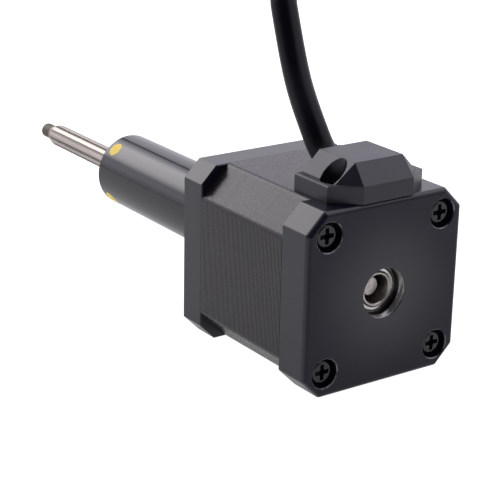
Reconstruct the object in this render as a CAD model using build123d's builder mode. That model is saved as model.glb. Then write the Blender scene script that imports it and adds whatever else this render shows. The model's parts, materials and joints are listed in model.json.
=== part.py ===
from build123d import *
import math
import os

# Captive linear stepper motor, 42 mm square frame.
# Frame: the motor axis is the Y axis and the origin is where it crosses the front mounting face.
# The output shaft points to -Y, the body runs to +Y, and the cable cover stands on top (+Z).
# All sizes are in millimetres.

os.makedirs("parts", exist_ok=True)

# ---- Driving dimensions -------------------------------------------------------------------------

# Body
body_side = 42.3
hole_spacing = 31.0
flange_length = 7.4
stack_end = 38.3
body_length = 47.6
flange_corner = 4.0
stack_corner = 7.2
cover_corner = 4.6
rear_edge_radius = 1.2
pilot_radius = 11.0
pilot_height = 2.0
pilot_edge = 0.4
flange_edge = 0.25
upright_edge_radius = 0.8
stack_edge_radius = 1.8
joint_edge = 0.2

# Sleeve, guide bush and output shaft
sleeve_radius = 9.5
sleeve_bore_radius = 5.5
sleeve_front = -60.5
sleeve_edge = 0.3
sleeve_spigot_radius = 9.0
sleeve_spigot_end = 2.3
bush_radius = 7.0
bush_rear = -48.8
peg_radius = 2.0
peg_station = -57.1
peg_clocking = 50.5
peg_gap = 0.02
spline_radius = 3.0
spline_root_radius = 2.55
spline_count = 10
spline_front = -102.0
spline_rear = -38.6
spline_nose = 2.4
spline_edge = 0.3
spline_gap = 0.075
stud_radius = 2.0
stud_root_radius = 1.62
stud_pitch = 0.7
stud_front = -107.0
stud_relief = 0.4
stud_nose = 0.5
stud_ridge_half = 0.3
stud_ridge_crest = 0.06
stud_ridge_sunk = 0.15
stud_ridge_height = 0.4
collar_radius = 4.3
collar_length = 2.0
collar_edge = 0.3

# Lead screw and rotor
screw_radius = 2.5
screw_root_radius = 1.95
screw_lead = 8.0
screw_starts = 4
screw_front = -36.6
screw_rear = 42.7
screw_end_radius = 2.0
screw_end_taper = 0.6
lobe_root_half = 1.25
lobe_shoulder = 1.6
lobe_shoulder_half = 1.2
lobe_crest_half = 0.55
lobe_overshoot = 0.3
spigot_radius = 1.6
spigot_gap = 0.02
spigot_front = -50.0
thread_gap = 0.19
nut_radius = 4.6
nut_front = 12.0
nut_rear = 31.0
rotor_bore_radius = 3.3
rotor_hub_radius = 6.0
hub_edge = 0.6
hub_end_edge = 0.2
hub_end_stand = 0.35
rotor_radius = 12.85
rotor_teeth = 50
rotor_tooth_depth = 0.7
rotor_tooth_slot = 0.85
core_length = 11.7
magnet_length = 2.6
magnet_radius = 12.1

# Ball bearings, 8 x 16 x 5
bearing_bore_radius = 4.0
bearing_outer_radius = 8.0
bearing_width = 5.0
inner_ring_radius = 5.0
ring_edge = 0.25
outer_ring_inside = 7.0
ball_pitch_radius = 6.0
ball_radius = 1.2
ball_count = 9
groove_radius = 1.27
cage_half_height = 0.4
cage_half_width = 1.7
pocket_radius = 1.3
shield_thickness = 0.25
shield_inset = 0.2
shield_inner_radius = 5.2
front_bearing_front = 2.4
rear_bearing_rear = 44.7
bearing_seat_gap = 0.03

# Stator and windings
stator_bore_radius = 13.0
shoe_back_radius = 14.4
yoke_radius = 18.6
pole_count = 8
pole_width = 5.5
slot_opening = 1.1
slot_reach = 6.0
pole_teeth = 6
stator_tooth_depth = 0.6
stator_tooth_slot = 0.8
stator_tooth_pitch = 7.2
lamination = 0.5
lamination_groove = 0.14
lamination_depth = 0.09
liner_gap = 0.04
liner_thickness = 0.5
bobbin_plate = 0.8
bobbin_wall_height = 2.7
bobbin_wall_thickness = 0.9
bobbin_inner_radius = 13.4
bobbin_outer_radius = 19.1
coil_inner_half = 3.4
coil_side = 1.75
coil_end = 1.9
coil_inner_face = 15.05
coil_depth = 2.1
pin_radius = 0.35
pin_length = 2.4
pin_ring_radius = 18.65
pin_spread = 8.0
pin_count = 4
coil_corner = 1.6
coil_inner_corner = 0.1
coil_gap = 0.05
wall_notch = 3.2

# End cavities
cavity_radius = 19.5
front_cavity_floor = 3.3
rear_web = 1.9
seat_boss_radius = 9.9
rear_hole_radius = 5.65
spring_gap = 0.06
spring_outer_radius = 7.9
spring_inner_radius = 6.7
spring_thickness = 0.35
spring_wave_half = 4.6
spring_waves = 3

# Housing screws, M3
screw_hole_radius = 1.65
thread_hole_radius = 1.5
thread_hole_depth = 4.7
grip_hole_radius = 1.25
housing_screw_radius = 1.46
housing_screw_grip_radius = 1.23
counterbore_radius = 3.35
counterbore_floor = 44.4
counterbore_edge = 0.2
head_radius = 2.75
head_height = 2.2
head_edge = 0.7
head_recess = 1.4
screw_tip_edge = 0.4
phillips_span = 3.6
phillips_slot = 1.0
phillips_middle = 0.9
phillips_taper = 9
housing_screw_tip = 4.9

# Cable cover
cover_half_width = 13.1
cover_front = 31.4
cover_shoulder = 42.9
cover_rear = 47.4
cover_rear_half = 6.8
cover_base_height = 3.9
cover_height = 8.25
cover_top_half = 6.5
cover_top_rear = 43.7
cover_slope_half = 11.0
cover_cavity_half = 5.2
cover_cavity_front = 33.4
cover_cavity_rear = 43.2
cover_cavity_height = 7.2
cover_screw_x = 9.33
cover_screw_y = 40.0
cover_screw_seat = 1.6
cover_screw_depth = 4.2
cover_thread_radius = 1.25
cover_shank_radius = 1.2
cover_shank_hole_radius = 1.45
cover_head_hole_radius = 2.85
cover_head_radius = 2.35
cover_head_height = 1.7
cover_head_edge = 0.45
cover_head_recess = 1.1
cover_screw_tip_gap = 0.3
cover_shoulder_radius = 0.6
edge_margin = 0.01
lead_window_half = 4.9
lead_window_front = 40.0
lead_window_rear = 43.6
lead_window_corner = 0.8
lead_window_depth = 4.65

# Cable: where its centre line goes after it leaves the cover
cable_radius = 3.08
jacket_bore_radius = 2.15
cable_exit_height = 24.5
jacket_start = 34.8
cable_bend = [
    (-0.2, 23.0, 27.0),
    (-0.3, 20.3, 30.1),
    (-1.2, 14.9, 35.6),
    (-3.0, 8.2, 43.3),
    (-5.0, 1.2, 54.5),
]
jacket_end = (-6.2, -1.7, 60.5)
jacket_end_direction = (-0.16, -0.42, 0.9)
grommet_radius = 4.4
grommet_front = 29.2
grommet_neck_radius = 3.75
grommet_gap = 0.05
grommet_edge = 0.5
lead_radius = 0.62
lead_offset = 1.0
lead_steps = 14
lead_drop_y = 42.6
lead_drop_z = 19.1
lead_splay = 1.4
lead_flare = 1.5
lead_tail = 8.0
copper_radius = 0.36
copper_length = 2.6

# Worked-out values
half = body_side / 2
stack_length = stack_end - flange_length
stack_middle = (flange_length + stack_end) / 2
cover_length = body_length - stack_end
rear_web_face = body_length - rear_web
rear_bearing_front = rear_bearing_rear - bearing_width
front_bearing_rear = front_bearing_front + bearing_width
rotor_end = rear_bearing_rear + hub_end_stand
rotor_front = stack_middle - magnet_length / 2 - core_length
rotor_rear = stack_middle + magnet_length / 2 + core_length
cover_base_top = half + cover_base_height
cover_top = half + cover_height


# ---- Helpers ------------------------------------------------------------------------------------

def station(y):
    """Plane across the motor axis at a distance y, facing the rear, with +Z upwards."""
    return Plane(origin=(0, y, 0), x_dir=(-1, 0, 0), z_dir=(0, 1, 0))


def level(z):
    """Horizontal plane at height z."""
    return Plane.XY.offset(z)


def radial_plane(angle, distance):
    """Plane square to a radius of the motor, with its local x along the motor axis."""
    c = math.cos(math.radians(angle))
    s = math.sin(math.radians(angle))
    return Plane(origin=(distance * c, 0, distance * s), x_dir=(0, 1, 0), z_dir=(c, 0, s))


def save(piece, name):
    """Label a finished piece and write it to its own file."""
    piece.label = name
    export_step(piece, "parts/" + name + ".step")


def square_profile(side, corner):
    """Square with its four corners cut off."""
    with BuildSketch() as profile:
        Rectangle(side, side)
        chamfer(profile.vertices(), corner)
    return profile.sketch


def stack_profile(side):
    """Outline of the steel sheets: cut corners with their edges rounded off."""
    with BuildSketch() as profile:
        add(square_profile(side, stack_corner))
        fillet(profile.vertices(), stack_edge_radius)
    return profile.sketch


def ring_profile(outer, inner):
    """Flat ring."""
    with BuildSketch() as profile:
        Circle(outer)
        Circle(inner, mode=Mode.SUBTRACT)
    return profile.sketch


def phillips_cross():
    """Cross of a Phillips recess."""
    with BuildSketch() as profile:
        Rectangle(phillips_span, phillips_slot)
        Rectangle(phillips_slot, phillips_span)
        Circle(phillips_middle)
    return profile.sketch


# ---- Housing ------------------------------------------------------------------------------------

with BuildPart() as front_flange:
    with BuildSketch(station(0)):
        add(square_profile(body_side, flange_corner))
    extrude(amount=flange_length)
    chamfer(front_flange.faces().sort_by(Axis.Y)[0].edges(), flange_edge)
    chamfer(front_flange.faces().sort_by(Axis.Y)[-1].edges(), joint_edge)
    with BuildSketch(station(-pilot_height)):
        Circle(pilot_radius)
    extrude(amount=pilot_height)
    chamfer(front_flange.faces().sort_by(Axis.Y)[0].edges(), pilot_edge)
    with BuildSketch(station(front_cavity_floor)):
        Circle(cavity_radius)
        Circle(seat_boss_radius, mode=Mode.SUBTRACT)
    extrude(amount=flange_length, mode=Mode.SUBTRACT)
    with BuildSketch(station(-pilot_height)):
        Circle(sleeve_spigot_radius + bearing_seat_gap)
    extrude(amount=pilot_height + front_bearing_front, mode=Mode.SUBTRACT)
    with BuildSketch(station(0)):
        Circle(bearing_outer_radius + bearing_seat_gap)
    extrude(amount=flange_length, mode=Mode.SUBTRACT)
    for hole_radius, hole_depth in ((thread_hole_radius, thread_hole_depth), (grip_hole_radius, flange_length)):
        with BuildSketch(station(0)):
            with GridLocations(hole_spacing, hole_spacing, 2, 2):
                Circle(hole_radius)
        extrude(amount=hole_depth, mode=Mode.SUBTRACT)
save(front_flange.part, "front_flange")

with BuildPart() as rear_cover:
    with BuildSketch(station(stack_end)):
        add(square_profile(body_side, cover_corner))
    extrude(amount=cover_length)
    fillet(rear_cover.edges().filter_by(Axis.Y), upright_edge_radius)
    fillet(rear_cover.faces().sort_by(Axis.Y)[-1].edges(), rear_edge_radius)
    chamfer(rear_cover.faces().sort_by(Axis.Y)[0].edges(), joint_edge)
    with BuildSketch(station(stack_end)):
        Circle(cavity_radius)
    extrude(amount=rear_web_face - stack_end, mode=Mode.SUBTRACT)
    with BuildSketch(station(rear_bearing_front)):
        add(ring_profile(seat_boss_radius, bearing_outer_radius + bearing_seat_gap))
    extrude(amount=rear_web_face - rear_bearing_front)
    with BuildSketch(station(rear_web_face)):
        Circle(rear_hole_radius)
    extrude(amount=rear_web, mode=Mode.SUBTRACT)
    with BuildSketch(station(stack_end)):
        with GridLocations(hole_spacing, hole_spacing, 2, 2):
            Circle(screw_hole_radius)
    extrude(amount=cover_length, mode=Mode.SUBTRACT)
    with BuildSketch(station(counterbore_floor)):
        with GridLocations(hole_spacing, hole_spacing, 2, 2):
            Circle(counterbore_radius)
    extrude(amount=cover_length, mode=Mode.SUBTRACT)
    rear_rims = rear_cover.faces().filter_by(Axis.Y).sort_by(Axis.Y)[-1].inner_wires()
    chamfer(rear_rims.edges(), counterbore_edge)
    with BuildSketch(level(half)):
        with Locations((0, (lead_window_front + lead_window_rear) / 2)):
            RectangleRounded(2 * lead_window_half, lead_window_rear - lead_window_front, lead_window_corner)
    extrude(amount=-lead_window_depth, mode=Mode.SUBTRACT)
    with BuildSketch(level(half)):
        with Locations((cover_screw_x, cover_screw_y), (-cover_screw_x, cover_screw_y)):
            Circle(cover_thread_radius)
    extrude(amount=-cover_screw_depth, mode=Mode.SUBTRACT)
save(rear_cover.part, "rear_cover")

with BuildPart() as housing_screw:
    with BuildSketch(station(housing_screw_tip)):
        Circle(housing_screw_grip_radius)
    extrude(amount=flange_length - housing_screw_tip)
    chamfer(housing_screw.faces().sort_by(Axis.Y)[0].edges(), screw_tip_edge)
    with BuildSketch(station(flange_length)):
        Circle(housing_screw_radius)
    extrude(amount=counterbore_floor - flange_length)
    with BuildSketch(station(counterbore_floor)):
        Circle(head_radius)
    extrude(amount=head_height)
    fillet(housing_screw.faces().sort_by(Axis.Y)[-1].edges(), head_edge)
    with BuildSketch(station(counterbore_floor + head_height)):
        add(phillips_cross())
    extrude(amount=-head_recess, taper=phillips_taper, mode=Mode.SUBTRACT)

with BuildPart() as housing_screws:
    with GridLocations(hole_spacing, hole_spacing, 2, 2) as corners:
        corner_points = [place.position for place in corners.locations]
    for point in corner_points:
        add(housing_screw.part.moved(Location((point.X, 0, point.Y))))
save(housing_screws.part, "housing_screws")


# ---- Sleeve and guide bush ----------------------------------------------------------------------

with BuildPart() as sleeve:
    with BuildSketch(station(sleeve_front)):
        Circle(sleeve_radius)
    extrude(amount=-sleeve_front - pilot_height)
    chamfer(sleeve.faces().sort_by(Axis.Y)[0].edges(), sleeve_edge)
    with BuildSketch(station(-pilot_height)):
        Circle(sleeve_spigot_radius)
    extrude(amount=pilot_height + sleeve_spigot_end)
    with BuildSketch(station(sleeve_front)):
        Circle(sleeve_bore_radius)
    extrude(amount=sleeve_spigot_end - sleeve_front, mode=Mode.SUBTRACT)
    with BuildSketch(station(sleeve_front)):
        Circle(bush_radius)
    extrude(amount=bush_rear - sleeve_front, mode=Mode.SUBTRACT)
    for quarter in range(4):
        peg_plane = radial_plane(peg_clocking + 90 * quarter, sleeve_bore_radius)
        with BuildSketch(peg_plane):
            with Locations((peg_station, 0)):
                Circle(peg_radius)
        extrude(amount=sleeve_radius, mode=Mode.SUBTRACT)
save(sleeve.part, "sleeve")


def spline_profile(grow):
    """Shaft section: a round bar with equal grooves cut along it."""
    groove_width = math.pi * spline_root_radius / spline_count
    with BuildSketch() as profile:
        Circle(spline_radius + grow)
        with PolarLocations(spline_radius, spline_count):
            Rectangle(2 * (spline_radius - spline_root_radius - grow), groove_width - 2 * grow,
                      mode=Mode.SUBTRACT)
    return profile.sketch


with BuildPart() as guide_bush:
    with BuildSketch(station(sleeve_front)):
        Circle(bush_radius)
    extrude(amount=bush_rear - sleeve_front)
    for quarter in range(4):
        peg_plane = radial_plane(peg_clocking + 90 * quarter, sleeve_bore_radius)
        with BuildSketch(peg_plane):
            with Locations((peg_station, 0)):
                Circle(peg_radius - peg_gap)
        extrude(amount=sleeve_radius)
    with BuildSketch(station(sleeve_front)):
        Circle(sleeve_radius)
    extrude(amount=bush_rear - sleeve_front, mode=Mode.INTERSECT)
    with BuildSketch(station(sleeve_front)):
        add(spline_profile(spline_gap))
    extrude(amount=bush_rear - sleeve_front, mode=Mode.SUBTRACT)
save(guide_bush.part, "guide_bush")


# ---- Output shaft and lead screw ----------------------------------------------------------------

with BuildPart() as spline_bar:
    with BuildSketch(station(spline_front)):
        add(spline_profile(0))
    extrude(amount=spline_rear - spline_front)
    with BuildSketch(Plane.XY):
        with BuildLine():
            Polyline(
                (0, spline_front),
                (stud_radius + spline_edge, spline_front),
                (spline_radius, spline_front + spline_nose),
                (spline_radius, spline_rear - spline_edge),
                (spline_radius - spline_edge, spline_rear),
                (0, spline_rear),
                close=True,
            )
        make_face()
    revolve(axis=Axis.Y, mode=Mode.INTERSECT)
    with BuildSketch(station(spigot_front)):
        Circle(spigot_radius + spigot_gap)
    extrude(amount=spline_rear - spigot_front, mode=Mode.SUBTRACT)

with BuildPart() as stud_thread:
    thread_start = Vector(0, stud_front - stud_pitch, 0)
    thread_path = Helix(
        pitch=stud_pitch,
        height=spline_front - stud_front + 2 * stud_pitch,
        radius=stud_root_radius,
        center=thread_start,
        direction=(0, 1, 0),
    )
    ridge_plane = Plane(origin=thread_path @ 0, x_dir=(thread_path @ 0) - thread_start, z_dir=thread_path % 0)
    with BuildSketch(ridge_plane):
        with BuildLine():
            Polyline(
                (-stud_ridge_sunk, -stud_ridge_half),
                (stud_ridge_height, -stud_ridge_crest),
                (stud_ridge_height, stud_ridge_crest),
                (-stud_ridge_sunk, stud_ridge_half),
                close=True,
            )
        make_face()
    sweep(path=thread_path, is_frenet=True)
    with BuildSketch(Plane.XY):
        with BuildLine():
            Polyline(
                (0, stud_front),
                (stud_root_radius - stud_relief / 4, stud_front),
                (stud_radius, stud_front + stud_nose),
                (stud_radius, spline_front - stud_relief),
                (0, spline_front - stud_relief),
                close=True,
            )
        make_face()
    revolve(axis=Axis.Y, mode=Mode.INTERSECT)

with BuildPart() as output_shaft:
    add(spline_bar.part)
    with BuildSketch(station(stud_front)):
        Circle(stud_root_radius)
    extrude(amount=spline_front - stud_front + stud_nose)
    chamfer(output_shaft.faces().sort_by(Axis.Y)[0].edges(), stud_ridge_sunk)
    add(stud_thread.part)
save(output_shaft.part, "output_shaft")


def thread_profile(grow):
    """Section of the multi-start screw: one lobe for each start."""
    crest = screw_radius + lobe_overshoot
    with BuildSketch() as profile:
        with PolarLocations(0, screw_starts):
            Polygon(
                (0, -lobe_root_half),
                (lobe_shoulder, -lobe_shoulder_half),
                (crest, -lobe_crest_half),
                (crest, lobe_crest_half),
                (lobe_shoulder, lobe_shoulder_half),
                (0, lobe_root_half),
                align=None,
            )
        Circle(screw_radius, mode=Mode.INTERSECT)
        Circle(screw_root_radius)
        if grow > 0:
            offset(amount=grow, kind=Kind.INTERSECTION)
    return profile.sketch


with BuildPart() as lead_screw:
    with BuildSketch(station(screw_front)):
        add(thread_profile(0))
    sweep(
        path=Line((0, screw_front, 0), (0, screw_rear, 0)),
        binormal=Helix(
            pitch=screw_lead,
            height=screw_rear - screw_front,
            radius=screw_radius,
            center=(0, screw_front, 0),
            direction=(0, 1, 0),
        ),
    )
    with BuildSketch(Plane.XY):
        with BuildLine():
            Polyline(
                (0, screw_front),
                (screw_radius + lobe_overshoot, screw_front),
                (screw_radius + lobe_overshoot, screw_rear - 2 * screw_end_taper),
                (screw_radius, screw_rear - screw_end_taper),
                (screw_end_radius, screw_rear),
                (0, screw_rear),
                close=True,
            )
        make_face()
    revolve(axis=Axis.Y, mode=Mode.INTERSECT)
    with BuildSketch(station(spigot_front)):
        Circle(spigot_radius)
    extrude(amount=screw_front - spigot_front + screw_end_taper)
save(lead_screw.part, "lead_screw")

with BuildPart() as stop_collar:
    with BuildSketch(station(screw_front - collar_length)):
        add(ring_profile(collar_radius, spigot_radius + spigot_gap))
    extrude(amount=collar_length)
    chamfer(stop_collar.edges().filter_by(GeomType.CIRCLE).group_by(SortBy.RADIUS)[-1], collar_edge)
save(stop_collar.part, "stop_collar")


# ---- Rotor --------------------------------------------------------------------------------------

with BuildPart() as rotor_shaft:
    with BuildSketch(Plane.XY):
        with BuildLine():
            Polyline(
                (rotor_bore_radius, front_bearing_front),
                (bearing_bore_radius, front_bearing_front),
                (bearing_bore_radius, front_bearing_rear),
                (rotor_hub_radius - hub_edge, front_bearing_rear),
                (rotor_hub_radius, front_bearing_rear + hub_edge),
                (rotor_hub_radius, rear_bearing_front - hub_edge),
                (rotor_hub_radius - hub_edge, rear_bearing_front),
                (bearing_bore_radius, rear_bearing_front),
                (bearing_bore_radius, rotor_end),
                (rotor_bore_radius, rotor_end),
                (rotor_bore_radius, nut_rear),
                (nut_radius, nut_rear),
                (nut_radius, nut_front),
                (rotor_bore_radius, nut_front),
                close=True,
            )
        make_face()
    revolve(axis=Axis.Y)
    rotor_ends = rotor_shaft.faces().filter_by(Axis.Y)
    end_edges = rotor_ends.sort_by(Axis.Y)[0].edges() + rotor_ends.sort_by(Axis.Y)[-1].edges()
    chamfer(end_edges, hub_end_edge)
save(rotor_shaft.part, "rotor_shaft")

with BuildPart() as rotor_nut:
    with BuildSketch(station(nut_front)):
        Circle(nut_radius)
    extrude(amount=nut_rear - nut_front)
with BuildPart() as nut_thread:
    with BuildSketch(station(screw_front)):
        add(thread_profile(thread_gap))
    sweep(
        path=Line((0, screw_front, 0), (0, screw_rear, 0)),
        binormal=Helix(
            pitch=screw_lead,
            height=screw_rear - screw_front,
            radius=screw_radius,
            center=(0, screw_front, 0),
            direction=(0, 1, 0),
        ),
    )
with BuildPart() as cut_nut:
    add(rotor_nut.part)
    add(nut_thread.part, mode=Mode.SUBTRACT)
save(cut_nut.part, "rotor_nut")


def rotor_core(name, start, clocking):
    """Toothed cap of the rotor; the two caps stand half a tooth apart."""
    with BuildPart() as core:
        with BuildSketch(station(start)):
            Circle(rotor_radius)
            with PolarLocations(rotor_radius, rotor_teeth, start_angle=clocking):
                Rectangle(2 * rotor_tooth_depth, rotor_tooth_slot, mode=Mode.SUBTRACT)
            Circle(rotor_hub_radius, mode=Mode.SUBTRACT)
        extrude(amount=core_length)
    save(core.part, name)


tooth_angle = 360 / rotor_teeth
rotor_core("rotor_core_front", rotor_front, 0)
rotor_core("rotor_core_rear", rotor_rear - core_length, tooth_angle / 2)

with BuildPart() as rotor_magnet:
    with BuildSketch(station(stack_middle - magnet_length / 2)):
        add(ring_profile(magnet_radius, rotor_hub_radius))
    extrude(amount=magnet_length)
save(rotor_magnet.part, "rotor_magnet")


# ---- Ball bearings ------------------------------------------------------------------------------

def bearing(name, front):
    """Shielded ball bearing: two rings, balls, cage and a pair of shields."""
    middle = front + bearing_width / 2
    with BuildPart() as inner_ring:
        with BuildSketch(Plane.XY) as ring_section:
            with Locations(((bearing_bore_radius + inner_ring_radius) / 2, middle)):
                Rectangle(inner_ring_radius - bearing_bore_radius, bearing_width)
                chamfer(ring_section.vertices(), ring_edge)
            with Locations((ball_pitch_radius, middle)):
                Circle(groove_radius, mode=Mode.SUBTRACT)
        revolve(axis=Axis.Y)
    save(inner_ring.part, name + "_inner_ring")

    with BuildPart() as outer_ring:
        with BuildSketch(Plane.XY):
            with Locations(((outer_ring_inside + bearing_outer_radius) / 2, middle)):
                Rectangle(bearing_outer_radius - outer_ring_inside, bearing_width)
            with Locations((ball_pitch_radius, middle)):
                Circle(groove_radius, mode=Mode.SUBTRACT)
        revolve(axis=Axis.Y)
    save(outer_ring.part, name + "_outer_ring")

    with BuildPart() as balls:
        with Locations(station(middle)):
            with PolarLocations(ball_pitch_radius, ball_count):
                Sphere(ball_radius)
    save(balls.part, name + "_balls")

    with BuildPart() as cage:
        with BuildSketch(station(middle - cage_half_width)):
            add(ring_profile(ball_pitch_radius + cage_half_height, ball_pitch_radius - cage_half_height))
        extrude(amount=2 * cage_half_width)
        for pocket in range(ball_count):
            with BuildSketch(radial_plane(180 - 360 * pocket / ball_count, 0)):
                with Locations((middle, 0)):
                    Circle(pocket_radius)
        extrude(amount=bearing_outer_radius, mode=Mode.SUBTRACT)
    save(cage.part, name + "_cage")

    with BuildPart() as shields:
        for y in (front + shield_inset, front + bearing_width - shield_inset - shield_thickness):
            with BuildSketch(station(y)):
                add(ring_profile(outer_ring_inside, shield_inner_radius))
            extrude(amount=shield_thickness)
    save(shields.part, name + "_shields")


bearing("front_bearing", front_bearing_front)
bearing("rear_bearing", rear_bearing_front)

with BuildPart() as wave_spring:
    spring_room = rear_web_face - rear_bearing_rear
    with BuildSketch(station(rear_bearing_rear + spring_gap)):
        add(ring_profile(spring_outer_radius, spring_inner_radius))
    extrude(amount=spring_room - 2 * spring_gap)
    wave_angle = 360 / spring_waves
    for wave in range(spring_waves):
        for face, turn in ((rear_bearing_rear, 0), (rear_web_face, wave_angle / 2)):
            with BuildSketch(radial_plane(wave_angle * wave + turn, 0)):
                with Locations((face, 0)):
                    Ellipse(spring_room - spring_thickness, spring_wave_half)
            extrude(amount=bearing_outer_radius, mode=Mode.SUBTRACT)
save(wave_spring.part, "wave_spring")


# ---- Stator -------------------------------------------------------------------------------------

def winding_windows(shrink):
    """The eight openings between the poles that hold the windings."""
    with BuildSketch() as windows:
        Circle(yoke_radius)
        Circle(shoe_back_radius, mode=Mode.SUBTRACT)
        with PolarLocations((shoe_back_radius + yoke_radius) / 2, pole_count):
            Rectangle(yoke_radius, pole_width, mode=Mode.SUBTRACT)
        if shrink > 0:
            offset(amount=-shrink, kind=Kind.INTERSECTION)
    return windows.sketch


slot_turn = 180 / pole_count
groove_count = round(stack_length / lamination) - 1
with BuildPart() as stator_core:
    with BuildSketch(station(flange_length)):
        add(stack_profile(body_side))
    extrude(amount=stack_length)
    with BuildSketch(station(flange_length)):
        Circle(stator_bore_radius)
        with PolarLocations(stator_bore_radius, pole_count, start_angle=slot_turn):
            Rectangle(slot_reach, slot_opening)
        for pole in range(pole_count):
            first_slot = pole * 360 / pole_count - (pole_teeth / 2 - 1) * stator_tooth_pitch
            with PolarLocations(stator_bore_radius, pole_teeth - 1, start_angle=first_slot,
                                angular_range=(pole_teeth - 2) * stator_tooth_pitch, endpoint=True):
                Rectangle(2 * stator_tooth_depth, stator_tooth_slot)
        with GridLocations(hole_spacing, hole_spacing, 2, 2):
            Circle(screw_hole_radius)
        add(winding_windows(0))
    extrude(amount=stack_length, mode=Mode.SUBTRACT)
    for groove in range(groove_count):
        groove_plane = station(flange_length + (groove + 1) * lamination - lamination_groove / 2)
        with BuildSketch(groove_plane):
            Rectangle(2 * body_side, 2 * body_side)
            add(stack_profile(body_side - 2 * lamination_depth), mode=Mode.SUBTRACT)
    extrude(amount=lamination_groove, mode=Mode.SUBTRACT)
save(stator_core.part, "stator_core")


def bobbin(name, end, inwards):
    """Moulded insulator: slot liners over half the stack, an end plate and two winding walls."""
    liner_length = stack_length / 2 - liner_gap
    plate_plane = station(end - inwards * (bobbin_plate + liner_gap))
    wall_plane = station(end - inwards * (bobbin_plate + liner_gap + bobbin_wall_height))
    inner_wall = bobbin_inner_radius + bobbin_wall_thickness
    outer_wall = bobbin_outer_radius - bobbin_wall_thickness
    liner_shrink = liner_gap + liner_thickness
    with BuildPart() as insulator:
        with BuildSketch(plate_plane):
            Circle(bobbin_outer_radius)
            Circle(bobbin_inner_radius, mode=Mode.SUBTRACT)
            add(winding_windows(liner_shrink), mode=Mode.SUBTRACT)
            with PolarLocations(bobbin_inner_radius, pole_count, start_angle=slot_turn):
                Rectangle(2 * bobbin_wall_thickness, slot_opening, mode=Mode.SUBTRACT)
        extrude(amount=inwards * bobbin_plate)
        with BuildSketch(plate_plane):
            add(winding_windows(liner_gap))
            add(winding_windows(liner_shrink), mode=Mode.SUBTRACT)
        extrude(amount=inwards * (bobbin_plate + liner_gap + liner_length))
        with BuildSketch(wall_plane):
            Circle(inner_wall)
            Circle(bobbin_inner_radius, mode=Mode.SUBTRACT)
            with PolarLocations(inner_wall, pole_count, start_angle=slot_turn):
                Rectangle(slot_reach, wall_notch, mode=Mode.SUBTRACT)
            Circle(bobbin_outer_radius)
            Circle(outer_wall, mode=Mode.SUBTRACT)
        extrude(amount=inwards * bobbin_wall_height)
    save(insulator.part, name)


bobbin("bobbin_front", flange_length, 1)
bobbin("bobbin_rear", stack_end, -1)


def phase_coils(name, clocking):
    """Four coils of one phase, each wound round a pole over both insulators."""
    inner_half_length = stack_length / 2 + liner_gap + bobbin_plate + coil_gap
    with BuildPart() as coils:
        for quarter in range(4):
            with BuildSketch(radial_plane(clocking + 90 * quarter, coil_inner_face)):
                with Locations((stack_middle, 0)):
                    RectangleRounded(2 * (inner_half_length + coil_end),
                                     2 * (coil_inner_half + coil_side), coil_corner)
                    RectangleRounded(2 * inner_half_length, 2 * coil_inner_half,
                                     coil_inner_corner, mode=Mode.SUBTRACT)
            extrude(amount=coil_depth)
    save(coils.part, name)


phase_coils("phase_a_coils", 0)
phase_coils("phase_b_coils", 45)

pin_angles = [90 + pin_spread * (pin - (pin_count - 1) / 2) for pin in range(pin_count)]
with BuildPart() as terminal_pins:
    pin_start = stack_end + liner_gap + bobbin_plate + bobbin_wall_height
    for angle in pin_angles:
        with BuildSketch(station(pin_start)):
            with PolarLocations(pin_ring_radius, 1, start_angle=angle):
                Circle(pin_radius)
    extrude(amount=pin_length)
save(terminal_pins.part, "terminal_pins")


# ---- Cable cover --------------------------------------------------------------------------------

with BuildPart() as cover_hood:
    with BuildSketch(level(cover_base_top)):
        with BuildLine():
            Polyline(
                (-cover_slope_half, cover_front),
                (cover_slope_half, cover_front),
                (cover_slope_half, cover_shoulder),
                (cover_rear_half, cover_rear),
                (-cover_rear_half, cover_rear),
                (-cover_slope_half, cover_shoulder),
                close=True,
            )
        make_face()
    extrude(amount=cover_top - cover_base_top)
    slope_rise = cover_top - cover_base_top
    side_run = cover_slope_half - cover_top_half
    rear_run = cover_rear - cover_top_rear
    for side in (-1, 1):
        side_plane = Plane(origin=(side * cover_slope_half, 0, cover_base_top), x_dir=(0, 1, 0),
                           z_dir=(side * slope_rise, 0, side_run))
        split(bisect_by=side_plane, keep=Keep.BOTTOM)
        top_corner = Vector(side * cover_top_half, cover_top_rear, cover_top)
        rear_corner = Vector(side * cover_rear_half, cover_rear, cover_base_top)
        side_corner = Vector(side * cover_slope_half, cover_shoulder, cover_base_top)
        hip_normal = (rear_corner - top_corner).cross(side_corner - top_corner) * -side
        split(bisect_by=Plane(origin=top_corner, z_dir=hip_normal), keep=Keep.BOTTOM)
    rear_plane = Plane(origin=(0, cover_rear, cover_base_top), x_dir=(1, 0, 0),
                       z_dir=(0, slope_rise, rear_run))
    split(bisect_by=rear_plane, keep=Keep.BOTTOM)

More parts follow.
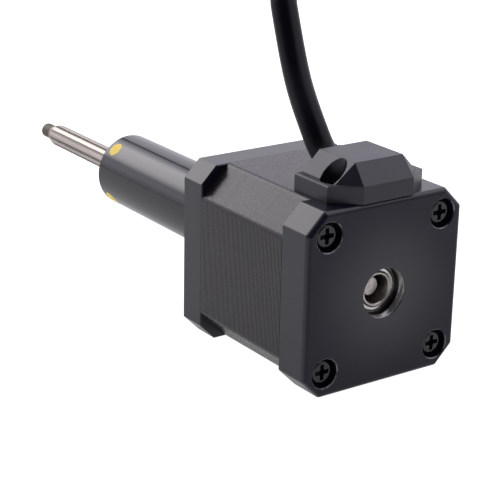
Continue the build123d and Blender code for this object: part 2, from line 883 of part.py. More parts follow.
with BuildPart() as cable_cover:
    with BuildSketch(level(half)):
        with BuildLine():
            Polyline(
                (-cover_half_width, cover_front),
                (cover_half_width, cover_front),
                (cover_half_width, cover_shoulder),
                (cover_rear_half, cover_rear),
                (-cover_rear_half, cover_rear),
                (-cover_half_width, cover_shoulder),
                close=True,
            )
        make_face()
    extrude(amount=cover_base_height)
    add(cover_hood.part)
    shoulder_edges = cable_cover.edges().filter_by(Axis.Y).filter_by_position(
        Axis.Z, cover_base_top - edge_margin, cover_base_top + edge_margin).group_by(Axis.X)
    fillet(shoulder_edges[0] + shoulder_edges[-1], cover_shoulder_radius)
    for side in (-1, 1):
        with BuildSketch(level(cover_top)):
            with Locations((side * cover_screw_x, cover_screw_y)):
                Circle(cover_head_hole_radius)
        extrude(amount=cover_screw_seat - cover_height, mode=Mode.SUBTRACT)
        with BuildSketch(level(half)):
            with Locations((side * cover_screw_x, cover_screw_y)):
                Circle(cover_shank_hole_radius)
        extrude(amount=cover_height, mode=Mode.SUBTRACT)
    with BuildSketch(level(half)):
        with Locations((0, (cover_cavity_front + cover_cavity_rear) / 2)):
            Rectangle(2 * cover_cavity_half, cover_cavity_rear - cover_cavity_front)
    extrude(amount=cover_cavity_height, mode=Mode.SUBTRACT)
    with BuildSketch(station(cover_front)):
        with Locations((0, cable_exit_height)):
            Circle(grommet_neck_radius + grommet_gap)
        with Locations((0, half)):
            Rectangle(2 * (grommet_neck_radius + grommet_gap), 2 * (cable_exit_height - half))
    extrude(amount=cover_cavity_front - cover_front, mode=Mode.SUBTRACT)
save(cable_cover.part, "cable_cover")

with BuildPart() as cover_screw:
    seat_height = half + cover_screw_seat
    with BuildSketch(level(seat_height)):
        Circle(cover_head_radius)
    extrude(amount=cover_head_height)
    fillet(cover_screw.faces().sort_by(Axis.Z)[-1].edges(), cover_head_edge)
    with BuildSketch(level(seat_height + cover_head_height)):
        add(phillips_cross())
    extrude(amount=-cover_head_recess, taper=phillips_taper, mode=Mode.SUBTRACT)
    with BuildSketch(level(half - cover_screw_depth + cover_screw_tip_gap)):
        Circle(cover_shank_radius)
    extrude(amount=cover_screw_depth - cover_screw_tip_gap + cover_screw_seat)

with BuildPart() as cable_cover_screws:
    for side in (-1, 1):
        add(cover_screw.part.moved(Location((side * cover_screw_x, cover_screw_y, 0))))
save(cable_cover_screws.part, "cable_cover_screws")


# ---- Cable --------------------------------------------------------------------------------------

with BuildPart() as cable_grommet:
    with BuildSketch(station(grommet_front)):
        with Locations((0, cable_exit_height)):
            Circle(grommet_radius)
    extrude(amount=cover_front - grommet_front)
    fillet(cable_grommet.faces().sort_by(Axis.Y)[0].edges(), grommet_edge)
    with BuildSketch(station(cover_front)):
        with Locations((0, cable_exit_height)):
            Circle(grommet_neck_radius)
    extrude(amount=cover_cavity_front - cover_front)
    with BuildSketch(station(grommet_front)):
        with Locations((0, cable_exit_height)):
            Circle(cable_radius + grommet_gap)
    extrude(amount=cover_cavity_front - grommet_front, mode=Mode.SUBTRACT)
    split(bisect_by=level(half + grommet_gap), keep=Keep.TOP)
save(cable_grommet.part, "cable_grommet")

with BuildLine() as cable_line:
    Line((0, jacket_start, cable_exit_height), (0, grommet_front, cable_exit_height))
    Spline((0, grommet_front, cable_exit_height), *cable_bend, jacket_end,
           tangents=[(0, -1, 0), jacket_end_direction])

with BuildPart() as cable_jacket:
    with BuildSketch(Plane(origin=(0, jacket_start, cable_exit_height), z_dir=(0, -1, 0))):
        Circle(cable_radius)
        Circle(jacket_bore_radius, mode=Mode.SUBTRACT)
    sweep(path=cable_line.wires()[0])
save(cable_jacket.part, "cable_jacket")


def lead_points(angle):
    """Points of one lead, kept at a fixed offset from the cable's centre line."""
    centre = cable_line.wires()[0]
    points = []
    for step in range(lead_steps + 1):
        along = centre.tangent_at(step / lead_steps)
        across = Vector(1, 0, 0) - along * along.X
        across = across.normalized()
        above = along.cross(across)
        shift = across * math.cos(math.radians(angle)) + above * math.sin(math.radians(angle))
        points.append(centre.position_at(step / lead_steps) + shift * lead_offset)
    return points, shift, along


copper_ends = []


def lead(name, angle, pin_angle):
    """One insulated lead, from its terminal pin, through the cable, to its stripped end."""
    points, shift, along = lead_points(angle)
    pin_x = -pin_ring_radius * math.cos(math.radians(pin_angle))
    start = points[0]
    corner = Vector(pin_x, lead_drop_y, lead_drop_z)
    tail = points[-1] + along * lead_tail + shift * lead_splay
    tail_direction = along * lead_tail + shift * lead_splay * lead_flare
    with BuildLine() as line:
        Spline(corner, start, tangents=[(0, 0, 1), (0, -1, 0)])
        Spline(*points, tail, tangents=[(0, -1, 0), tail_direction])
    with BuildPart() as insulation:
        with BuildSketch(Plane(origin=corner, z_dir=(0, 0, 1))):
            Circle(lead_radius)
        sweep(path=line.wires()[0], transition=Transition.ROUND)
    save(insulation.part, name)
    copper_ends.append((tail, tail_direction))


lead("lead_red", 45, pin_angles[0])
lead("lead_blue", 135, pin_angles[3])
lead("lead_green", 225, pin_angles[2])
lead("lead_black", 315, pin_angles[1])

with BuildPart() as stripped_ends:
    for tail, tail_direction in copper_ends:
        with BuildSketch(Plane(origin=tail, z_dir=tail_direction)):
            Circle(copper_radius)
        extrude(amount=copper_length)
save(stripped_ends.part, "stripped_ends")
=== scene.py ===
import bpy
import json
import math
from mathutils import Matrix, Vector


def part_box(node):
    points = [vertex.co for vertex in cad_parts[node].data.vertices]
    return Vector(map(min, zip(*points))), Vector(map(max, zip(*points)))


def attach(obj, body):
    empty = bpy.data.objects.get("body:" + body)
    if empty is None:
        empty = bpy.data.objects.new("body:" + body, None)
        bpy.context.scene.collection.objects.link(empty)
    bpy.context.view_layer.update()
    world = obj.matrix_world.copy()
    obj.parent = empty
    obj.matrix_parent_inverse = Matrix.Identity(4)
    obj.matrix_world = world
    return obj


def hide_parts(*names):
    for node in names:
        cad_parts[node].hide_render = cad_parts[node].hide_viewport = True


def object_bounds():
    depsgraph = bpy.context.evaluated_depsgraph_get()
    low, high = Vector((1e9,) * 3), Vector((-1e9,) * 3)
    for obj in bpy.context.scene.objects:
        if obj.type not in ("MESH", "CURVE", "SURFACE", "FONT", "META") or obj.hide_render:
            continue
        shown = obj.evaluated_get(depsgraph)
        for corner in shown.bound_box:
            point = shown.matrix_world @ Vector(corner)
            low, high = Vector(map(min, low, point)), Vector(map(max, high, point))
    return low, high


# Captive linear stepper motor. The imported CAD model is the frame; this script gives every node its
# surface, makes the bared ends of the leads as twisted strands, and sets the studio.
# Lengths are in metres unless a name ends in _mm; directions use the CAD frame (shaft to -Y, +Z up).

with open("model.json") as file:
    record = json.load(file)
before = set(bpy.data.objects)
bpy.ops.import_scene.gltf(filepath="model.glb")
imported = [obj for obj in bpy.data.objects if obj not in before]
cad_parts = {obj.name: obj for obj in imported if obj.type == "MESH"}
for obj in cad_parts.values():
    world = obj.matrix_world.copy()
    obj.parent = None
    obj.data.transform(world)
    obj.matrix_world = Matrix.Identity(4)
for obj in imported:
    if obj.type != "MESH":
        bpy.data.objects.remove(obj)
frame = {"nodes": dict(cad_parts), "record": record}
cad_low, cad_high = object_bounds()
nodes = frame["nodes"]

MM = 0.001

# ---- Measures read from the frame ---------------------------------------------------------------

stack_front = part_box("stator_core")[0].y
shaft_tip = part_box("output_shaft")[0].y
rear_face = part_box("rear_cover")[1].y

mount_dims = {mount["name"]: mount["dims"] for mount in frame["record"]["mounts"]}
corner_hole = mount_dims["flange_holes"]["spacing_x_mm"] * MM / 2
stud_length = mount_dims["shaft_stud"]["length_mm"] * MM

# ---- Sizes that the surfaces need ---------------------------------------------------------------

counterbore_radius_mm = 3.35
counterbore_rim_mm = 0.2
rear_hole_radius_mm = 5.65
rear_web_mm = 1.9
lamination_mm = 0.5
spline_floor_mm = 2.6
spline_crest_mm = 2.85
wire_pitch_mm = 0.45


BEVEL_SAMPLES = 6


# ---- Shader arithmetic --------------------------------------------------------------------------

class Field:
    """A number in a shader, so that masks and patterns are written as ordinary sums."""

    def __init__(self, graph, socket):
        self.graph = graph
        self.socket = socket

    def math(self, operation, other=None, swapped=False):
        node = self.graph.add("ShaderNodeMath", operation=operation)
        first, second = (1, 0) if swapped else (0, 1)
        self.graph.feed(node.inputs[first], self)
        if other is not None:
            self.graph.feed(node.inputs[second], other)
        return Field(self.graph, node.outputs[0])

    def __add__(self, other):
        return self.math("ADD", other)

    def __sub__(self, other):
        return self.math("SUBTRACT", other)

    def __rsub__(self, other):
        return self.math("SUBTRACT", other, swapped=True)

    def __mul__(self, other):
        return self.math("MULTIPLY", other)

    def __truediv__(self, other):
        return self.math("DIVIDE", other)

    __radd__ = __add__
    __rmul__ = __mul__

    def __abs__(self):
        return self.math("ABSOLUTE")

    def rise(self, start, end):
        """0 below start, 1 above end, smooth between."""
        node = self.graph.add("ShaderNodeMapRange", interpolation_type="SMOOTHSTEP")
        self.graph.feed(node.inputs["Value"], self)
        node.inputs["From Min"].default_value = start
        node.inputs["From Max"].default_value = end
        return Field(self.graph, node.outputs["Result"])

    def fall(self, start, end):
        """1 below start, 0 above end, smooth between."""
        return 1 - self.rise(start, end)

    def between(self, low, high, soft):
        """1 between low and high, with soft edges."""
        return self.rise(low - soft, low + soft) * self.fall(high - soft, high + soft)


class Graph:
    """A node tree with short calls for the nodes used here."""

    def __init__(self, tree):
        self.tree = tree

    def add(self, kind, **settings):
        node = self.tree.nodes.new(kind)
        for key, value in settings.items():
            setattr(node, key, value)
        return node

    def feed(self, target, value):
        """Link a field or socket to an input, or write a plain value into it."""
        if isinstance(value, Field):
            self.tree.links.new(value.socket, target)
        elif isinstance(value, bpy.types.NodeSocket):
            self.tree.links.new(value, target)
        elif isinstance(value, tuple) and len(value) == 3 and target.type == "RGBA":
            target.default_value = (*value, 1)
        else:
            target.default_value = value

    def axes(self, vector):
        """The three numbers of a vector, as fields."""
        split = self.add("ShaderNodeSeparateXYZ")
        self.feed(split.inputs[0], vector)
        return [Field(self, out) for out in split.outputs]

    def along(self, vector, direction):
        """How far a vector points along a direction."""
        dot = self.add("ShaderNodeVectorMath", operation="DOT_PRODUCT")
        self.feed(dot.inputs[0], vector)
        dot.inputs[1].default_value = direction
        return Field(self, dot.outputs["Value"])

    def blend(self, factor, first, second):
        """Colour that goes from first to second as factor goes from 0 to 1."""
        mix = self.add("ShaderNodeMix", data_type="RGBA")
        self.feed(mix.inputs[0], factor)
        self.feed(mix.inputs[6], first)
        self.feed(mix.inputs[7], second)
        return mix.outputs[2]


class Surface(Graph):
    """A material: a Principled shader with grain, bump and masks placed in the CAD frame."""

    def __init__(self, name):
        self.material = bpy.data.materials.new(name)
        self.material.use_nodes = True
        super().__init__(self.material.node_tree)
        self.shader = self.tree.nodes["Principled BSDF"]
        self.place = self.add("ShaderNodeTexCoord").outputs["Object"]
        x, y, z = self.axes(self.place)
        self.x_mm = x * 1000
        self.y_mm = y * 1000
        self.z_mm = z * 1000
        self.radius_mm = (self.x_mm * self.x_mm + self.z_mm * self.z_mm).math("SQRT")

    def noise(self, size_mm, stretch=(1, 1, 1), detail=2.0, roughness=0.5):
        """Noise from 0 to 1 with features of about size_mm, drawn out along the axes by stretch."""
        mapping = self.add("ShaderNodeMapping")
        mapping.inputs["Scale"].default_value = [1000 / (size_mm * s) for s in stretch]
        self.feed(mapping.inputs["Vector"], self.place)
        texture = self.add("ShaderNodeTexNoise")
        texture.inputs["Scale"].default_value = 1.0
        texture.inputs["Detail"].default_value = detail
        texture.inputs["Roughness"].default_value = roughness
        self.feed(texture.inputs["Vector"], mapping.outputs[0])
        return Field(self, texture.outputs["Fac"])

    def hash(self, field):
        """A steady random number from 0 to 1 for each whole number in the field."""
        texture = self.add("ShaderNodeTexWhiteNoise", noise_dimensions="1D")
        self.feed(texture.inputs["W"], field.math("FLOOR"))
        return Field(self, texture.outputs["Value"])

    def edges(self, radius_mm):
        """1 on sharp edges, 0 on flat faces, with the rounded normal that shows it."""
        bevel = self.add("ShaderNodeBevel", samples=BEVEL_SAMPLES)
        bevel.inputs["Radius"].default_value = radius_mm * MM
        geometry = self.add("ShaderNodeNewGeometry")
        dot = self.add("ShaderNodeVectorMath", operation="DOT_PRODUCT")
        self.feed(dot.inputs[0], bevel.outputs[0])
        self.feed(dot.inputs[1], geometry.outputs["Normal"])
        wear = (1 - Field(self, dot.outputs["Value"])).rise(0.02, 0.2)
        return wear, bevel.outputs[0]

    def bump(self, height, depth_mm, normal=None):
        """Raise the surface by depth_mm where height is 1."""
        bump = self.add("ShaderNodeBump")
        bump.inputs["Strength"].default_value = 1.0
        bump.inputs["Distance"].default_value = depth_mm * MM
        self.feed(bump.inputs["Height"], height)
        if normal is not None:
            self.feed(bump.inputs["Normal"], normal)
        return bump.outputs[0]

    def finish(self, colour, roughness, normal=None, metallic=0.0, **extra):
        """Connect the shader's main inputs and return the material."""
        self.feed(self.shader.inputs["Base Color"], colour)
        self.feed(self.shader.inputs["Roughness"], roughness)
        self.feed(self.shader.inputs["Metallic"], metallic)
        if normal is not None:
            self.feed(self.shader.inputs["Normal"], normal)
        for key, value in extra.items():
            self.feed(self.shader.inputs[key.replace("_", " ")], value)
        return self.material


# ---- Materials ----------------------------------------------------------------------------------

BARE_ALUMINIUM = (0.80, 0.79, 0.80)
TURNED_ALUMINIUM = (0.45, 0.44, 0.44)


def housing_surface(name, bare_machining):
    """Satin black end plates: fine blasted grain, faint cloudiness and lighter edges, partly worn
    anodising and partly a painted edge highlight.
    """
    s = Surface(name)
    grain = s.noise(0.16, detail=3.0)
    cloud = s.noise(9.0, detail=2.0)
    speck = s.noise(0.5, detail=1.0).rise(0.68, 0.8)
    worn, rounded = s.edges(0.18)
    wear = worn * s.noise(1.6, detail=4.0).rise(0.35, 0.75)
    colour = s.blend(cloud, (0.0038, 0.0032, 0.0105), (0.0060, 0.0052, 0.0140))
    colour = s.blend(speck * 0.25, colour, (0.02, 0.019, 0.02))
    # lighter edges: partly worn anodising, partly a painted highlight along the sharp edges
    colour = s.blend(wear * 0.5, colour, (0.08, 0.077, 0.08))
    roughness = 0.25 + cloud * 0.07 + speck * 0.05
    metallic = wear * 0.4
    gloss = 0.5 + cloud * 0.04
    if bare_machining:
        depth = rear_face / MM - s.y_mm
        wiped = (s.radius_mm + cloud * 5).fall(5, 24)
        gloss = gloss + (wiped * 0.34 - 0.25) * depth.fall(0.2, 0.5)
        corner_x = abs(s.x_mm) - corner_hole / MM
        corner_z = abs(s.z_mm) - corner_hole / MM
        corner = (corner_x * corner_x + corner_z * corner_z).math("SQRT")
        rim_end_mm = counterbore_radius_mm + counterbore_rim_mm
        rim = corner.between(counterbore_radius_mm - 0.1, rim_end_mm, 0.04)
        rim = rim * depth.fall(counterbore_rim_mm, counterbore_rim_mm + 0.1)
        rim = rim * s.noise(2.2).rise(0.4, 0.55)
        wall = s.radius_mm.fall(rear_hole_radius_mm + 0.03, rear_hole_radius_mm + 0.08)
        wall = wall * depth.fall(rear_web_mm, rear_web_mm + 0.1)
        bare = (rim * 0.3).math("MAXIMUM", wall * 0.85)
        turning = s.noise(0.12, stretch=(60, 1, 60), detail=2.0)
        colour = s.blend(bare, colour, s.blend(turning, TURNED_ALUMINIUM, BARE_ALUMINIUM))
        metallic = metallic.math("MAXIMUM", bare)
        roughness = roughness * (1 - bare) + bare * (0.12 + turning * 0.16)
    return s.finish(colour, roughness, s.bump(grain, 0.004, rounded), metallic, Specular_IOR_Level=gloss)


def lamination_surface():
    """Edges of the stamped sheets, crossed by fine marks left by the punch."""
    corner_cut_start_mm, corner_cut_full_mm = 34.6, 35.6
    top_start_mm, top_full_mm = 20.6, 21.1
    s = Surface("laminations")
    sheet = (s.y_mm - stack_front / MM) / lamination_mm
    shade = s.hash(sheet)
    punch = s.noise(0.17, stretch=(1, 70, 1), detail=3.0)
    drawn = s.noise(0.13, stretch=(40, 1, 40), detail=3.0)
    fleck = s.noise(0.3, detail=3.0).rise(0.66, 0.8)
    cloud = s.noise(7.0, detail=3.0)
    colour = s.blend(shade, (0.0165, 0.0134, 0.0168), (0.0220, 0.0180, 0.0215))
    colour = s.blend(punch.rise(0.5, 0.7) * 0.3, colour, (0.026, 0.0205, 0.021))
    colour = s.blend(drawn.rise(0.5, 0.75) * 0.25, colour, (0.028, 0.022, 0.022))
    colour = s.blend(fleck * 0.15, colour, (0.05, 0.043, 0.042))
    colour = s.blend(cloud.rise(0.3, 0.8) * 0.35, colour, (0.006, 0.005, 0.0065))
    corner_cut = (abs(s.x_mm) + abs(s.z_mm)).rise(corner_cut_start_mm, corner_cut_full_mm)
    flat_top = s.z_mm.rise(top_start_mm, top_full_mm)
    roughness = 0.2 + shade * 0.05 + cloud * 0.06
    height = punch * 0.6 + drawn * 0.4
    shine = 0.68 + flat_top * (1 - corner_cut) * 0.2 - corner_cut * 0.2
    return s.finish(colour, roughness, s.bump(height, 0.0007), 0.1, Specular_IOR_Level=shine)


def sleeve_surface():
    """Glossy black anodised tube with fine turning marks round it."""
    s = Surface("sleeve_black")
    turning = s.noise(0.10, stretch=(200, 1, 200), detail=3.0)
    rings = s.noise(0.9, stretch=(80, 1, 80), detail=2.0)
    smudge = s.noise(11.0, detail=3.0)
    scuff = s.noise(0.35, stretch=(1, 9, 1), detail=4.0).rise(0.68, 0.82)
    worn, rounded = s.edges(0.12)
    colour = s.blend(smudge, (0.0035, 0.0033, 0.0065), (0.0060, 0.0055, 0.0095))
    colour = s.blend(scuff * 0.25, colour, (0.03, 0.03, 0.031))
    colour = s.blend(worn * 0.5, colour, (0.10, 0.10, 0.103))
    roughness = 0.07 + rings * 0.06 + smudge * 0.03 + scuff * 0.1
    return s.finish(colour, roughness, s.bump(turning, 0.0005, rounded))


def brushed_surface(name, dark, light, stretch, roughness=0.26, marks=0.35, size_mm=0.14):
    """Bare metal with marks drawn out along one direction."""
    s = Surface(name)
    streak = s.noise(size_mm, stretch=stretch, detail=3.0)
    cloud = s.noise(4.0, detail=3.0)
    pit = s.noise(0.3, detail=2.0).rise(0.7, 0.82)
    worn, rounded = s.edges(0.08)
    colour = s.blend(streak.rise(0.25, 0.75), dark, light)
    colour = s.blend(pit * marks, colour, tuple(c * 0.45 for c in dark))
    shine = roughness + streak * 0.12 + cloud * 0.06
    return s.finish(colour, shine, s.bump(streak, 0.003, rounded), 1.0)


def output_shaft_surface():
    """Drawn steel bar with marks along it, painted shade in its spline grooves, and the threaded stud at
    its tip painted dark for the shade among its threads.
    """
    s = Surface("shaft_steel")
    streak = s.noise(0.16, stretch=(1, 40, 1), detail=3.0)
    cloud = s.noise(5.0, stretch=(1, 3, 1), detail=3.0)
    spot = s.noise(0.6, detail=3.0).rise(0.64, 0.8)
    worn, rounded = s.edges(0.08)
    stud_end_mm = (shaft_tip + stud_length) / MM
    stud_shade = s.y_mm.fall(stud_end_mm - 0.1, stud_end_mm + 0.1)
    shaded_groove = s.radius_mm.fall(spline_floor_mm, spline_crest_mm)
    colour = s.blend(streak.rise(0.25, 0.75), (0.42, 0.385, 0.35), (0.56, 0.52, 0.48))
    colour = s.blend(cloud.rise(0.45, 0.75) * 0.35, colour, (0.35, 0.315, 0.285))
    # painted shade: the spline grooves are coloured darker where shade falls in them
    colour = s.blend(shaded_groove * 0.6, colour, (0.22, 0.19, 0.165))
    colour = s.blend(spot * 0.2, colour, (0.30, 0.27, 0.25))
    # painted shade: the threaded stud is coloured dark for the shade among its threads
    colour = s.blend(stud_shade * 0.9, colour, (0.115, 0.10, 0.08))
    roughness = 0.44 + streak * 0.12 + shaded_groove * 0.1
    return s.finish(colour, roughness, s.bump(streak, 0.003, rounded), 1.0)


def screw_head_surface():
    """Black oxide screws: oily sheen, with brighter metal in the driven edges."""
    s = Surface("black_oxide")
    oil = s.noise(1.2, detail=3.0)
    grain = s.noise(0.12, detail=2.0)
    worn, rounded = s.edges(0.12)
    wear = worn * s.noise(0.7, detail=3.0).rise(0.3, 0.7)
    colour = s.blend(oil, (0.0025, 0.0024, 0.0045), (0.006, 0.0056, 0.0085))
    colour = s.blend(wear * 0.5, colour, (0.08, 0.078, 0.085))
    roughness = 0.1 + oil * 0.12
    return s.finish(colour, roughness, s.bump(oil * 0.93 + grain * 0.07, 0.03, rounded), 0.0)


def moulded_surface(name, dark, light, grain_mm, grain_depth_mm, roughness, edge_light):
    """Moulded plastic or rubber: a fine spark grain, soft edges and faint flow marks."""
    s = Surface(name)
    grain = s.noise(grain_mm, detail=3.0)
    flow = s.noise(6.0, stretch=(1, 2.5, 1), detail=3.0)
    dust = s.noise(0.4, detail=1.0).rise(0.72, 0.84)
    worn, rounded = s.edges(0.2)
    colour = s.blend(flow, dark, light)
    colour = s.blend(worn * 0.4, colour, edge_light)
    colour = s.blend(dust * 0.15, colour, edge_light)
    shine = roughness + flow * 0.08 + grain * 0.05
    return s.finish(colour, shine, s.bump(grain, grain_depth_mm, rounded), 0.0)


def jacket_surface():
    """Extruded cable jacket: semi-matte, faint lines along it and a little dust."""
    s = Surface("cable_jacket")
    skin = s.noise(0.35, stretch=(1, 1, 5), detail=3.0)
    bloom = s.noise(5.0, detail=3.0)
    dust = s.noise(0.45, detail=1.0).rise(0.74, 0.82)
    colour = s.blend(bloom, (0.0015, 0.0013, 0.0032), (0.0032, 0.0028, 0.0058))
    colour = s.blend(dust * 0.5, colour, (0.05, 0.05, 0.053))
    roughness = 0.26 + bloom * 0.08
    return s.finish(colour, roughness, s.bump(skin, 0.004), 0.0, Specular_IOR_Level=0.12)


def winding_surface():
    """Enamelled copper wire laid side by side, with painted shade between the turns and painted highlights
    on their crowns.
    """
    s = Surface("coil_copper")
    turn_bump_and_shade = (s.y_mm * 2 * math.pi / wire_pitch_mm).math("SINE") * 0.5 + 0.5
    tone = s.noise(1.5, detail=3.0)
    # painted shade and highlight: the colour follows each turn's profile, dark in the gaps between wires
    # and light on their crowns
    colour = s.blend(turn_bump_and_shade, (0.22, 0.075, 0.03), (0.62, 0.27, 0.11))
    colour = s.blend(tone * 0.4, colour, (0.45, 0.16, 0.06))
    return s.finish(colour, 0.28 + tone * 0.15, s.bump(turn_bump_and_shade, 0.08), 0.9)


def strand_surface():
    """Tinned copper strands."""
    s = Surface("tinned_copper")
    tone = s.noise(0.5, detail=2.0)
    colour = s.blend(tone, (0.62, 0.42, 0.30), (0.80, 0.66, 0.55))
    return s.finish(colour, 0.25 + tone * 0.15, s.bump(s.noise(0.15), 0.002), 1.0)


def paint(names, material):
    """Give the named CAD nodes one material."""
    for name in names:
        slots = nodes[name].data.materials
        slots.clear()
        slots.append(material)


BEARINGS = ("front_bearing", "rear_bearing")
LEADS = ("lead_red", "lead_blue", "lead_green", "lead_black")

paint(["front_flange"], housing_surface("flange_black", False))
paint(["rear_cover"], housing_surface("cover_black", True))
paint(["stator_core"], lamination_surface())
paint(["sleeve"], sleeve_surface())
paint(["output_shaft"], output_shaft_surface())
paint(["housing_screws", "cable_cover_screws"], screw_head_surface())
paint(["guide_bush"],
      moulded_surface("bush_yellow", (0.92, 0.66, 0.085), (0.97, 0.73, 0.12),
                      grain_mm=0.22, grain_depth_mm=0.006, roughness=0.5, edge_light=(0.98, 0.83, 0.42)))
paint(["cable_cover"],
      moulded_surface("cover_plastic", (0.005, 0.0047, 0.0115), (0.008, 0.0075, 0.0155),
                      grain_mm=0.2, grain_depth_mm=0.010, roughness=0.32, edge_light=(0.04, 0.04, 0.047)))
paint(["cable_grommet"],
      moulded_surface("grommet_rubber", (0.010, 0.010, 0.012), (0.016, 0.016, 0.018),
                      grain_mm=0.3, grain_depth_mm=0.008, roughness=0.5, edge_light=(0.05, 0.05, 0.055)))
paint(["bobbin_front", "bobbin_rear"],
      moulded_surface("bobbin_plastic", (0.02, 0.02, 0.02), (0.035, 0.034, 0.033),
                      grain_mm=0.3, grain_depth_mm=0.01, roughness=0.5, edge_light=(0.09, 0.09, 0.09)))
paint(["lead_screw"],
      brushed_surface("screw_steel", (0.42, 0.39, 0.36), (0.66, 0.62, 0.58), (6, 1, 6)))
paint(["stop_collar"],
      brushed_surface("collar_steel", (0.36, 0.35, 0.34), (0.55, 0.54, 0.52), (40, 1, 40)))
paint(["rotor_shaft"],
      brushed_surface("hub_steel", (0.30, 0.28, 0.26), (0.50, 0.47, 0.44), (60, 1, 60)))
paint(["rotor_nut"],
      brushed_surface("nut_bronze", (0.45, 0.27, 0.10), (0.72, 0.48, 0.20), (40, 1, 40)))
paint(["rotor_core_front", "rotor_core_rear"],
      brushed_surface("rotor_steel", (0.20, 0.20, 0.21), (0.42, 0.42, 0.43), (30, 1, 30), roughness=0.34))
paint(["rotor_magnet"],
      brushed_surface("magnet_grey", (0.13, 0.13, 0.14), (0.24, 0.24, 0.25), (3, 3, 3), roughness=0.4))
paint([b + part for b in BEARINGS for part in ("_inner_ring", "_outer_ring", "_balls")],
      brushed_surface("bearing_steel", (0.50, 0.48, 0.46), (0.74, 0.72, 0.70), (60, 1, 60),
                      roughness=0.12, marks=0.15))
paint([b + part for b in BEARINGS for part in ("_cage", "_shields")],
      brushed_surface("shield_steel", (0.34, 0.31, 0.28), (0.58, 0.55, 0.50), (30, 1, 30), roughness=0.24))
paint(["wave_spring"],
      brushed_surface("spring_steel", (0.22, 0.23, 0.25), (0.42, 0.44, 0.48), (30, 1, 30)))
paint(["terminal_pins"],
      brushed_surface("tinned_pins", (0.52, 0.50, 0.44), (0.76, 0.74, 0.66), (1, 12, 1)))
paint(["phase_a_coils", "phase_b_coils"], winding_surface())
paint(["cable_jacket"], jacket_surface())

LEAD_COLOURS = {
    "lead_red": ((0.50, 0.020, 0.015), (0.66, 0.045, 0.03)),
    "lead_blue": ((0.020, 0.055, 0.32), (0.04, 0.10, 0.46)),
    "lead_green": ((0.015, 0.19, 0.06), (0.03, 0.30, 0.10)),
    "lead_black": ((0.012, 0.012, 0.012), (0.022, 0.022, 0.022)),
}
for lead, (dark, light) in LEAD_COLOURS.items():
    pale = tuple(0.6 * c + 0.25 for c in light)
    paint([lead], moulded_surface(lead + "_insulation", dark, light, grain_mm=0.3, grain_depth_mm=0.006,
                                  roughness=0.34, edge_light=pale))


# ---- Bared strands ------------------------------------------------------------------------------

def islands(mesh):
    """The separate pieces of a mesh, each as a list of points."""
    neighbours = [[] for _ in mesh.vertices]
    for edge in mesh.edges:
        first, second = edge.vertices
        neighbours[first].append(second)
        neighbours[second].append(first)
    seen = set()
    found = []
    for start in range(len(neighbours)):
        if start in seen:
            continue
        seen.add(start)
        queue = [start]
        points = []
        while queue:
            here = queue.pop()
            points.append(mesh.vertices[here].co.copy())
            fresh = [n for n in neighbours[here] if n not in seen]
            seen.update(fresh)
            queue.extend(fresh)
        found.append(points)
    return found


def rod_axis(points):
    """Middle and half-length vector of a straight rod, from the rims of its two ends."""
    middle = sum(points, Vector()) / len(points)
    reach = max(points, key=lambda p: (p - middle).length) - middle
    total = Vector()
    for point in points:
        out = point - middle
        total += out * math.copysign(1, out.dot(reach))
    return middle, total / len(points)


def tube(points, radius, sides, vertices, faces):
    """Add a closed round tube along a line of points."""
    first = len(vertices)
    for index, point in enumerate(points):
        ahead = points[min(index + 1, len(points) - 1)] - points[max(index - 1, 0)]
        across = ahead.orthogonal().normalized()
        if index:
            across = (last_across - ahead * (last_across.dot(ahead) / ahead.length_squared)).normalized()
        last_across = across
        above = ahead.normalized().cross(across)
        for side in range(sides):
            turn = 2 * math.pi * side / sides
            vertices.append(point + (across * math.cos(turn) + above * math.sin(turn)) * radius)
    for index in range(len(points) - 1):
        for side in range(sides):
            here = first + index * sides + side
            beside = first + index * sides + (side + 1) % sides
            faces.append((here, beside, beside + sides, here + sides))
    faces.append(tuple(first + side for side in reversed(range(sides))))
    faces.append(tuple(first + (len(points) - 1) * sides + side for side in range(sides)))


STRAND_SHARP_ANGLE = math.radians(50)


def build_strands():
    """Seven fine wires in each bared end, six of them twisted round the middle one."""
    strand_radius = 0.12 * MM
    twist_radius = 0.238 * MM
    twist_length = 7.0 * MM
    outer_strands = 6
    steps = 16
    sides = 10
    longest_trim = 0.35 * MM
    uneven = 0.618
    motor_middle = (cad_low + cad_high) / 2
    vertices = []
    faces = []
    for rod in islands(nodes["stripped_ends"].data):
        middle, half_length = rod_axis(rod)
        if half_length.dot(middle - motor_middle) < 0:
            half_length = -half_length
        axis = half_length.normalized()
        across = axis.orthogonal().normalized()
        above = axis.cross(across)
        root = middle - half_length
        for strand in range(outer_strands + 1):
            trim = longest_trim * ((strand * uneven) % 1)
            length = 2 * half_length.length - trim
            offset = twist_radius if strand < outer_strands else 0.0
            line = []
            for step in range(steps + 1):
                along = length * step / steps
                turn = 2 * math.pi * (strand / outer_strands + along / twist_length)
                side = across * math.cos(turn) + above * math.sin(turn)
                line.append(root + axis * along + side * offset)
            tube(line, strand_radius, sides, vertices, faces)
    mesh = bpy.data.meshes.new("bared_strands")
    mesh.from_pydata(vertices, [], faces)
    mesh.materials.append(strand_surface())
    strands = bpy.data.objects.new("bared_strands", mesh)
    bpy.context.scene.collection.objects.link(strands)
    mesh.shade_smooth()
    mesh.set_sharp_from_angle(angle=STRAND_SHARP_ANGLE)
    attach(strands, "housing")
    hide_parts("stripped_ends")


build_strands()


# ---- Smooth shading -----------------------------------------------------------------------------

SMOOTH_ANGLE = math.radians(32)

for node in nodes.values():
    node.data.shade_smooth()
    node.data.set_sharp_from_angle(angle=SMOOTH_ANGLE)


# ---- Studio -------------------------------------------------------------------------------------

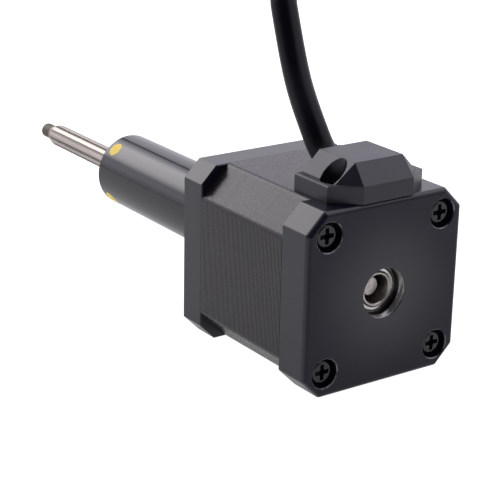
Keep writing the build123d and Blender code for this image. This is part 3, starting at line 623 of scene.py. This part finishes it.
def floor_surface():
    """Plain pale paper floor that stays close to white."""
    s = Surface("studio_floor")
    fibre = s.noise(2.0, detail=2.0)
    colour = s.blend(fibre, (0.34, 0.34, 0.345), (0.37, 0.37, 0.375))
    s.feed(s.shader.inputs["Emission Color"], (1.0, 1.0, 1.0))
    rays = s.add("ShaderNodeLightPath")
    seen = Field(s, rays.outputs["Is Camera Ray"])
    s.feed(s.shader.inputs["Emission Strength"], 0.52 + seen * 0.5)
    return s.finish(colour, 0.9)


def build_floor():
    """Wide square floor just under the motor."""
    floor_half = 6.0
    floor_gap = 0.05 * MM
    level = cad_low.z - floor_gap
    mesh = bpy.data.meshes.new("floor")
    signs = ((-1, -1), (1, -1), (1, 1), (-1, 1))
    corners = [(x * floor_half, y * floor_half, level) for x, y in signs]
    mesh.from_pydata(corners, [], [(0, 1, 2, 3)])
    floor = bpy.data.objects.new("floor", mesh)
    bpy.context.scene.collection.objects.link(floor)
    mesh.materials.append(floor_surface())


def horizontal(azimuth):
    """Direction over the floor at an azimuth measured from +Y towards +X."""
    a = math.radians(azimuth)
    return Vector((math.sin(a), math.cos(a), 0))


def build_studio():
    """Soft white tent: a glow above and behind the motor, a thin gap beside it and a dim horizon."""
    gap_azimuth = -160.8
    side_wall_azimuth = 90
    far_wall_azimuth = -145
    camera_side_azimuth = 35
    horizon_drop = 0.012
    tent_strength = 1.12
    glow_strength = 3.3
    side_box_strength = 1.8
    glow_direction = Vector((0.20, -0.80, 0.57)).normalized()
    side_box_direction = Vector((-0.543, 0.458, 0.705)).normalized()
    world = bpy.data.worlds.new("studio")
    bpy.context.scene.world = world
    world.use_nodes = True
    g = Graph(world.node_tree)
    background = world.node_tree.nodes["Background"]
    direction = g.add("ShaderNodeTexCoord").outputs["Generated"]
    height = g.axes(direction)[2]

    from_gap = abs(g.along(direction, horizontal(gap_azimuth + 90)))
    gap = from_gap.fall(0.016, 0.03) * height.rise(0.06, 0.16)
    gap = gap * g.along(direction, horizontal(180)).rise(0.0, 0.1)
    glow = g.along(direction, glow_direction).rise(0.905, 0.998) * height.rise(0.30, 0.37)
    side_wall = g.along(direction, horizontal(side_wall_azimuth)).rise(0.40, 0.46)
    side_wall = side_wall * height.between(0.14, 0.33, 0.04)
    far_wall = g.along(direction, horizontal(far_wall_azimuth)).rise(0.7, 0.9)
    far_wall = far_wall * height.rise(0.24, 0.36)
    horizon = abs(height + horizon_drop).fall(0.015, 0.07)
    camera_side = g.along(direction, horizontal(camera_side_azimuth)).rise(-0.15, 0.45)
    side_box = g.along(direction, side_box_direction).rise(0.86, 0.94)

    strength = tent_strength + side_wall * 0.4 + far_wall * 0.22 - camera_side * 1.05
    strength = strength * (1 - horizon * 0.45)
    strength = strength * (1 - side_box) + side_box * side_box_strength
    strength = strength + glow * glow_strength
    strength = strength * (1 - gap * 0.9)
    rays = g.add("ShaderNodeLightPath")
    seen = Field(g, rays.outputs["Is Camera Ray"])
    strength = strength * (1 - seen) + seen
    tint = g.blend(glow, (0.985, 0.965, 1.065), (1.02, 0.995, 1.01))
    g.feed(background.inputs["Color"], g.blend(seen, tint, (1.0, 1.0, 1.0)))
    g.feed(background.inputs["Strength"], strength)


def build_camera():
    """Camera behind and above the motor, on its cable side, slightly rolled."""
    azimuth = math.radians(144.75)
    elevation = math.radians(19.72)
    roll = math.radians(1.228)
    distance = 0.380
    aim = Vector((1.55, -0.93, -4.64)) * MM
    back = Vector((math.sin(azimuth) * math.cos(elevation),
                   -math.cos(azimuth) * math.cos(elevation),
                   math.sin(elevation)))
    turn = (-back).to_track_quat("-Z", "Y").to_matrix().to_4x4()
    data = bpy.data.cameras.new("camera")
    data.sensor_width = 36.0
    data.lens = 113.61
    data.clip_start = 0.01
    camera = bpy.data.objects.new("camera", data)
    place = Matrix.Translation(aim + back * distance)
    camera.matrix_world = place @ turn @ Matrix.Rotation(roll, 4, "Z")
    bpy.context.scene.collection.objects.link(camera)
    bpy.context.scene.camera = camera


build_floor()
build_studio()
build_camera()
bpy.context.scene.view_settings.view_transform = "Standard"
